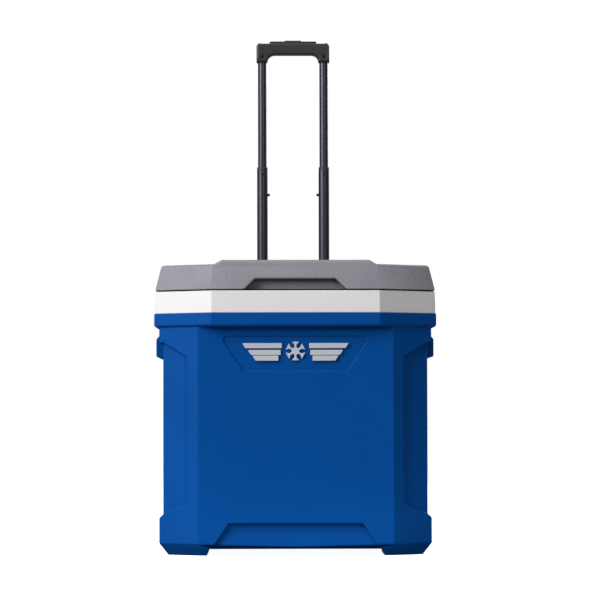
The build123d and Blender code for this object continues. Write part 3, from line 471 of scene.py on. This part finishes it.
stands_for(plug, "drain_plug", "drain_cap", "black_plastic", nylon_black)
bpy.data.objects.remove(plug_rib)

# ---- Lid: shell, pan and seal ----
# The shell is injection-moulded polypropylene with a pebbled, leather-like
# texture. The white pan snaps into it from below, and a rubber strip round the
# pan closes on the liner's rim.

lid_edge = 0.0016
seal_edge = 0.0007
pebble_size_mm = 2.6
grey_lid, tree, surface = new_material("grey_pebbled_polypropylene", Roughness=0.55)
# Mid grey with a hint of violet; the pebbles scatter the light, so it looks dry.
surface.inputs["Specular IOR Level"].default_value = 0.4
pebbles = add_node(
    tree,
    "ShaderNodeTexVoronoi",
    {"Vector": place_of(tree), "Scale": 1000 / pebble_size_mm},
    feature="SMOOTH_F1",
)
moulded_grain(tree, surface, 2.2, 1.0, 0.05, linear("#7F7D85"))
pebble_bump = add_node(
    tree,
    "ShaderNodeBump",
    {
        "Height": pebbles.outputs["Distance"],
        "Strength": 0.8,
        "Distance": 0.0007,
        "Normal": surface.inputs["Normal"].links[0].from_socket,
    },
)
tree.links.new(pebble_bump.outputs["Normal"], surface.inputs["Normal"])
stands_for(softened("lid_shell", lid_edge, angle=30.0), "lid_shell", "lid", "lid_grey", grey_lid)
stands_for(softened("lid_pan", liner_edge), "lid_pan", "lid", "liner_white", white_liner)
stands_for(softened("lid_seal", seal_edge), "lid_seal", "lid", "soft_rubber", rubber_black)

# ---- Screws: pan heads with a cross recess, wherever hardware is fixed ----
# Zinc-plated steel, or blackened steel on the grip. Each is driven to its own
# angle, so the crosses don't line up.

steel, tree, surface = new_material(
    "zinc_plated_steel", Base_Color=linear("#B4B6BA"), Metallic=1.0, Roughness=0.34
)
# Bright bluish grey with the soft blur of barrel plating.
moulded_grain(tree, surface, 0.5, 0.08)
black_steel, tree, surface = new_material(
    "blackened_steel", Base_Color=linear("#2B2B2E"), Metallic=1.0, Roughness=0.42
)
# Oil-black, just lighter than the plastic round it.
moulded_grain(tree, surface, 0.5, 0.08)


def lathed(name, profile, steps=32):
    """A closed form turned about Z from (radius, height) points, both ends on the axis."""
    work = bmesh.new()
    line = [work.verts.new((radius, 0, height)) for radius, height in profile]
    edges = [work.edges.new(pair) for pair in zip(line, line[1:])]
    bmesh.ops.spin(
        work, geom=line + edges, cent=(0, 0, 0), axis=(0, 0, 1), angle=math.tau, steps=steps
    )
    bmesh.ops.remove_doubles(work, verts=work.verts, dist=1e-6)
    bmesh.ops.recalc_face_normals(work, faces=work.faces)
    mesh = bpy.data.meshes.new(name)
    work.to_mesh(mesh)
    work.free()
    mesh.shade_smooth()
    return mesh


def cross_head(name, radius, height, length):
    """One screw along Z: the head's seat at zero, its shank below, its cross cut in."""
    shank = radius * 0.45
    rim = height * 0.45
    dome = [
        (radius * math.sin(t), rim + (height - rim) * math.cos(t)) for t in (0, 0.4, 0.8, 1.2, 1.5)
    ]
    side = [(radius, height * 0.4), (radius, 0)]
    stem = [(shank, 0), (shank, -length), (0, -length)]
    head = mesh_object(name, lathed(name, dome + side + stem, 28))
    arm, thickness, depth = radius * 0.62, radius * 0.2, height * 0.75
    narrowing = 0.7  # of the cross at its foot, where the driver's tip ends
    cutters = []
    for turned in (0, 90):
        mesh = bpy.data.meshes.new("cross_arm")
        work = bmesh.new()
        bmesh.ops.create_cube(work, size=1.0)
        for vert in work.verts:
            shrink = narrowing if vert.co.z < 0 else 1.0
            vert.co.x *= 2 * arm * shrink
            vert.co.y *= thickness * shrink
            vert.co.z = height - depth if vert.co.z < 0 else height * 1.4
        quarter = Matrix.Rotation(math.radians(turned), 3, "Z")
        bmesh.ops.rotate(work, verts=work.verts, matrix=quarter)
        work.to_mesh(mesh)
        work.free()
        cutter = mesh_object("cross_arm", mesh)
        cut = head.modifiers.new("cross", "BOOLEAN")
        cut.object, cut.operation, cut.solver = cutter, "DIFFERENCE", "EXACT"
        cutters.append(cutter)
    mesh = joined_mesh(name, head)
    for cutter in cutters:
        bpy.data.objects.remove(cutter)
    for polygon in mesh.polygons:
        polygon.use_smooth = False
    return mesh_object(name, mesh)


screw_tree, parts, screw_end = new_tree(
    "screws_in_place", Screw="Object", Facing="Vector", Seed="Int", Finish="Material"
)
facing = add_node(
    screw_tree, "FunctionNodeAlignRotationToVector", {"Vector": parts["Facing"]}, axis="Z"
)
driven = add_node(
    screw_tree, "FunctionNodeRandomValue", {"Min": 0.0, "Max": math.tau, "Seed": parts["Seed"]}
)
driven_turn = add_node(
    screw_tree,
    "FunctionNodeAxisAngleToRotation",
    {"Axis": (0, 0, 1), "Angle": driven.outputs["Value"]},
)
each = add_node(
    screw_tree,
    "FunctionNodeRotateRotation",
    {"Rotation": facing.outputs[0], "Rotate By": driven_turn.outputs[0]},
    rotation_space="LOCAL",
)
pattern = add_node(screw_tree, "GeometryNodeObjectInfo", {"Object": parts["Screw"]})
placed = add_node(
    screw_tree,
    "GeometryNodeInstanceOnPoints",
    {
        "Points": parts["Geometry"],
        "Instance": pattern.outputs["Geometry"],
        "Rotation": each.outputs[0],
    },
)
finished(screw_tree, placed.outputs[0], parts["Finish"], screw_end)


def solids_of(node):
    """The lowest and highest corners of each separate solid in a CAD node."""
    work = bmesh.new()
    work.from_mesh(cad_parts[node].data)
    bmesh.ops.remove_doubles(work, verts=work.verts, dist=1e-6)
    seen, boxes = set(), []
    for first in work.verts:
        if first in seen:
            continue
        group, queue = [], [first]
        seen.add(first)
        while queue:
            vert = queue.pop()
            group.append(vert.co.copy())
            for edge in vert.link_edges:
                other = edge.other_vert(vert)
                if other not in seen:
                    seen.add(other)
                    queue.append(other)
        low = Vector([min(co[i] for co in group) for i in range(3)])
        high = Vector([max(co[i] for co in group) for i in range(3)])
        boxes.append((low, high))
    work.free()
    return boxes


def screw_seats(node, facing, head_height):
    """The head radius, shank length and seats of a CAD node's plain screws."""
    axis = max(range(3), key=lambda i: abs(facing[i]))
    across = (axis + 1) % 3
    boxes = solids_of(node)
    low, high = boxes[0]
    radius = (high - low)[across] / 2
    shank_length = (high - low)[axis] - head_height
    seats = []
    for low, high in boxes:
        seat = (low + high) / 2
        seat[axis] = high[axis] - head_height if facing[axis] > 0 else low[axis] + head_height
        seats.append(seat)
    return radius, shank_length, seats


# Node, body, the way the heads face, head height, finish and seed of the driven angles.
for node, body, facing, head_height, finish, seed in (
    ("hinge_body_screws", "root", (0, 1, 0), 0.0018, steel, 3),
    ("hinge_lid_screws", "lid", (0, 1, 0), 0.0016, steel, 5),
    ("handle_screws", "root", (0, 1, 0), 0.0020, steel, 7),
    ("grip_screws", "handle_upper", (0, -1, 0), 0.0015, black_steel, 11),
):
    radius, shank_length, seats = screw_seats(node, facing, head_height)
    screw = cross_head(node + "_pattern", radius, head_height, shank_length)
    points = bpy.data.meshes.new(node + "_seats")
    points.from_pydata(seats, [], [])
    piece = grown(
        node + "_driven", screw_tree, points, Screw=screw, Facing=facing, Seed=seed, Finish=finish
    )
    stands_for(piece, node, body, "plated_steel", finish)
    bpy.data.objects.remove(screw)

# ---- Lid hinges ----
# Glass-filled nylon leaves, moulded, screwed to the liner's band and to the back
# of the lid, with a plated steel pin through their knuckles.

leaf_edge = 0.0006
for side in ("left", "right"):
    for leaf, body in (("hinge_body_leaf_", "root"), ("hinge_lid_leaf_", "lid")):
        leaf += side
        stands_for(softened(leaf, leaf_edge), leaf, body, "hinge_plastic", nylon_black)
paint(steel, "hinge_pins")

# ---- Stub axles ----
# Turned steel with a flange, held to the well's flat wall by three countersunk
# screws, with a spring clip at the outer end.

stub_edge = 0.0004
for stub in ("axle_stub_left", "axle_stub_right"):
    stands_for(softened(stub, stub_edge), stub, "root", "plated_steel", steel)
paint(steel, "axle_clips", "axle_screws")

# ---- Wheels ----
# A polypropylene hub with eight holes carries a rubber tyre with two rows of
# staggered lugs. The domed cap snaps over the axle's end.

tyre_low, tyre_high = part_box("tyre_right")
tyre_radius = (tyre_high[2] - tyre_low[2]) / 2
tyre_width = tyre_high[0] - tyre_low[0]
rubber_depth = 0.016
bore_radius = tyre_radius - rubber_depth
lug_count = 34
lug_height = 0.0032
lug_crown = lug_height - 0.0002  # keeps the lugs just inside the tyre's full radius
lug_width = 0.0115
lug_sink = 0.002  # the lugs' feet go this far into the carcass
lug_length_share = 0.82  # of half the tyre's width
lug_slant = 0.004
lug_fall = 0.0016  # the lugs drop this much towards the tyre's sides
row_stagger = 0.0026
hub_edge = 0.0008
wheel_black, tree, surface = new_material(
    "black_wheel_polypropylene", Base_Color=linear("#2A2A2D"), Roughness=0.42
)
# Dark grey with a low shine, a little glossier than the rubber.
moulded_grain(tree, surface, 1.0, 0.25)


def ring_mesh(name, profile, steps=96):
    """A closed ring turned about Z from a loop of (radius, height) points."""
    work = bmesh.new()
    line = [work.verts.new((radius, 0, height)) for radius, height in profile]
    edges = [work.edges.new((line[i], line[(i + 1) % len(line)])) for i in range(len(line))]
    bmesh.ops.spin(
        work, geom=line + edges, cent=(0, 0, 0), axis=(0, 0, 1), angle=math.tau, steps=steps
    )
    bmesh.ops.remove_doubles(work, verts=work.verts, dist=1e-6)
    bmesh.ops.recalc_face_normals(work, faces=work.faces)
    mesh = bpy.data.meshes.new(name)
    work.to_mesh(mesh)
    work.free()
    mesh.shade_smooth()
    return mesh


carcass_radius = tyre_radius - lug_height
half = tyre_width / 2
tyre_line = [
    (bore_radius, -half),
    (bore_radius + 0.003, -half),
    (bore_radius + 0.0045, -half + 0.0008),
    (carcass_radius - 0.004, -half + 0.0008),
    (carcass_radius - 0.0012, -half + 0.003),
    (carcass_radius, -half + 0.0065),
    (carcass_radius, -0.0022),
    (carcass_radius - 0.0014, -0.0012),
]
tyre_line += [(radius, -level) for radius, level in reversed(tyre_line)]
lug = tapered_bar("tread_lug", half * lug_length_share, lug_width, lug_crown, lug_sink)
for vert in lug.data.vertices:
    outward = vert.co.z / half
    vert.co.y += lug_slant * outward
    if vert.co.x > 0:
        vert.co.x -= lug_fall * max(0.0, outward)
for side in ("left", "right"):
    centre = centre_of("tyre_" + side)
    mesh = ring_mesh("tyre_carcass", tyre_line)
    mesh.transform(Matrix.Translation(centre) @ Matrix.Rotation(math.radians(90), 4, "Y"))
    for row in (-1, 1):
        row_lug = lug.copy()
        row_lug.data = lug.data.copy()
        bpy.context.scene.collection.objects.link(row_lug)
        for vert in row_lug.data.vertices:
            vert.co.z = row * (vert.co.z + half / 2)
            vert.co.y += row * row_stagger
        if row < 0:
            row_lug.data.flip_normals()
        else:
            row_lug.data.transform(Matrix.Rotation(math.pi / lug_count, 4, "Z"))
        piece = grown(
            "tyre_row",
            ring_tree,
            mesh,
            Piece=row_lug,
            Count=lug_count,
            Radius=carcass_radius,
            Tilt=(0, math.radians(90), 0),
            Centre=centre,
            Finish=rubber_black,
        )
        mesh = joined_mesh("tyre_with_lugs", piece)
        bpy.data.objects.remove(row_lug)
    tyre = mesh_object("tyre_treaded_" + side, mesh)
    stands_for(tyre, "tyre_" + side, "wheel_" + side, "tyre_rubber", rubber_black)
    hub = softened("wheel_hub_" + side, hub_edge)
    stands_for(hub, "wheel_hub_" + side, "wheel_" + side, "wheel_plastic", wheel_black)
bpy.data.objects.remove(lug)
paint(nylon_black, "wheel_bush_left", "wheel_bush_right")
paint(wheel_black, "hub_cap_left", "hub_cap_right")

# ---- Handle mounts and sleeves on the rear wall ----
# A nylon housing and a lower bracket, screwed through the shell, hold the two
# powder-coated steel sleeves that the tubes slide in.

tube_black, tree, surface = new_material(
    "satin_black_metallic_coat", Base_Color=linear("#45444B"), Metallic=0.9, Roughness=0.36
)
# Near black with a broad, soft, bluish streak left of its middle; a very fine orange peel.
moulded_grain(tree, surface, 0.5, 0.06)
mount_edge = 0.0012
for part in ("handle_housing", "handle_bracket"):
    stands_for(softened(part, mount_edge), part, "root", "black_plastic", nylon_black)
paint(
    tube_black,
    *[
        f"{stage}_{side}"
        for stage in ("handle_sleeve", "middle_tube", "upper_tube")
        for side in ("left", "right")
    ],
)

# ---- Middle tubes ----
# Drawn steel, powder-coated. A nylon collar is riveted into the top of each, and
# a glide closes its foot. Steel pins stop it at the end of its slot.

collar_edge = 0.0004
collars = softened("middle_collars", collar_edge, angle=36.0)
stands_for(collars, "middle_collars", "handle_middle", "black_plastic", nylon_black)
paint(nylon_black, "middle_glides")
paint(black_steel, "stop_pins", "collar_rivets")

# ---- Upper tubes and grip ----
# The grip is two nylon halves screwed together round the tubes' ends, with a
# rubber pad let into its top. A darker band under its bar is painted shade.

grip_edge = 0.0008
pad_edge = 0.001
bar_thickness = 0.0225
bar_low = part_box("grip_front")[1][2] - bar_thickness
# The darker band under the bar is painted shade, not a separate rubber part.
shade_band_height = 0.006
shade_band_lap = 0.0055  # how far the band runs down the bends at the bar's ends
shade_band_half_length = 0.045
grip_nylon, tree, surface = new_material("charcoal_grip_nylon", Roughness=0.36)
# A warm charcoal with a spark-eroded grain that lightens it under the soft box.
moulded_grain(tree, surface, 0.8, 0.2, 0.04, linear("#2B292E"))
underside_painted_shade, tree, surface = new_material("overmoulded_finger_rubber", Roughness=0.6)
# Painted shade: a flat, darker band under the bar that stands for the shadow on its rounded
# underside.
surface.inputs["Specular IOR Level"].default_value = 0.2
moulded_grain(tree, surface, 0.6, 0.3, 0.04, linear("#121114"))


def split_by_band(piece, low, high, half_length, finish_index):
    """Cuts a mesh along a box's sides and gives the faces inside it another finish."""
    work = bmesh.new()
    work.from_mesh(piece.data)
    for spot, facing in (
        ((0, 0, low), (0, 0, 1)),
        ((0, 0, high), (0, 0, 1)),
        ((-half_length, 0, 0), (1, 0, 0)),
        ((half_length, 0, 0), (1, 0, 0)),
    ):
        bmesh.ops.bisect_plane(
            work,
            geom=work.verts[:] + work.edges[:] + work.faces[:],
            plane_co=spot,
            plane_no=facing,
            dist=1e-6,
        )
    for face in work.faces:
        middle = face.calc_center_median()
        if low < middle.z < high and abs(middle.x) < half_length:
            face.material_index = finish_index
    work.to_mesh(piece.data)
    work.free()


for half_name in ("grip_front", "grip_rear"):
    piece = softened(half_name, grip_edge, angle=60.0)
    # The band under the bar gets the darker material, as painted shade.
    split_by_band(piece, bar_low - shade_band_lap, bar_low + shade_band_height, shade_band_half_length, 1)
    stands_for(piece, half_name, "handle_upper", "black_plastic", grip_nylon)
    piece.data.materials.append(underside_painted_shade)
stands_for(softened("grip_pad", pad_edge), "grip_pad", "handle_upper", "soft_rubber", rubber_black)
paint(nylon_black, "upper_glides")

# ---- Release button, yoke, rods and locks ----
# The button pushes a bar that carries a rod down each tube, and the rods draw
# the lock pins in. A wire spring under the bar returns them.

button_edge = 0.0006
button = softened("release_button", button_edge)
stands_for(button, "release_button", "release", "black_plastic", nylon_black)
paint(nylon_black, "release_yoke")
paint(steel, "release_rods", "button_spring", "lock_pin_left", "lock_pin_right")
